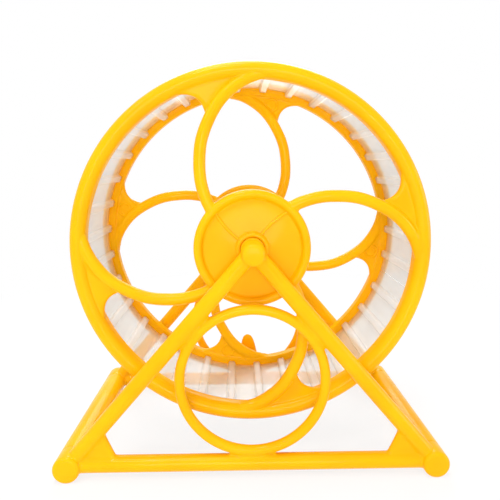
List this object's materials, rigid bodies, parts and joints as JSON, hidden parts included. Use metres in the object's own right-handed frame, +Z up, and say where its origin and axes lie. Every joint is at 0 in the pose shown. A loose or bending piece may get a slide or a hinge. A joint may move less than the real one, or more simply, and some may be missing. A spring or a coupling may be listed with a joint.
{
  "type": "hamster wheel",
  "caption": "Exercise wheel for a small pet: two petal-spoked sides joined by a ribbed running band, turning on an A-frame stand with cross tubes.",
  "frame": {"origin": "on the ground under the middle of the stand", "axes": "+Z up, the wheel's axle along Y with the front towards -Y, +X to the right seen from the front"},
  "size_m": [0.1326, 0.0798, 0.1391],
  "materials": {
    "yellow_plastic": "smooth moulded plastic with a soft gloss, slightly translucent",
    "milky_strip": "thin milky translucent plastic strip",
    "rod": "plain drawn steel"
  },
  "bodies": {
    "stand": {"front_axle_boss": "yellow_plastic", "front_base_bar": "yellow_plastic", "front_brace_ring": "yellow_plastic", "front_left_leg": "yellow_plastic", "front_left_foot": "yellow_plastic", "front_left_gusset": "yellow_plastic", "front_right_leg": "yellow_plastic", "front_right_foot": "yellow_plastic", "front_right_gusset": "yellow_plastic", "rear_axle_boss": "yellow_plastic", "rear_base_bar": "yellow_plastic", "rear_brace_ring": "yellow_plastic", "rear_left_leg": "yellow_plastic", "rear_left_foot": "yellow_plastic", "rear_left_gusset": "yellow_plastic", "rear_right_leg": "yellow_plastic", "rear_right_foot": "yellow_plastic", "rear_right_gusset": "yellow_plastic", "rear_peg": "yellow_plastic", "left_cross_tube": "yellow_plastic", "right_cross_tube": "yellow_plastic", "axle_rod": "rod"},
    "wheel": {"front_rim": "yellow_plastic", "front_hub": "yellow_plastic", "front_spoke_1": "yellow_plastic", "front_spoke_2": "yellow_plastic", "front_spoke_3": "yellow_plastic", "front_spoke_4": "yellow_plastic", "rear_rim": "yellow_plastic", "rear_hub": "yellow_plastic", "rear_spoke_1": "yellow_plastic", "rear_spoke_2": "yellow_plastic", "rear_spoke_3": "yellow_plastic", "rear_spoke_4": "yellow_plastic", "running_band": "milky_strip"}
  },
  "joints": [
    {"name": "wheel_spin", "type": "hinge", "parent": "stand", "child": "wheel", "pos_m": [0, 0, 0.07655], "axis": [0, 1, 0], "continuous": true}
  ]
}
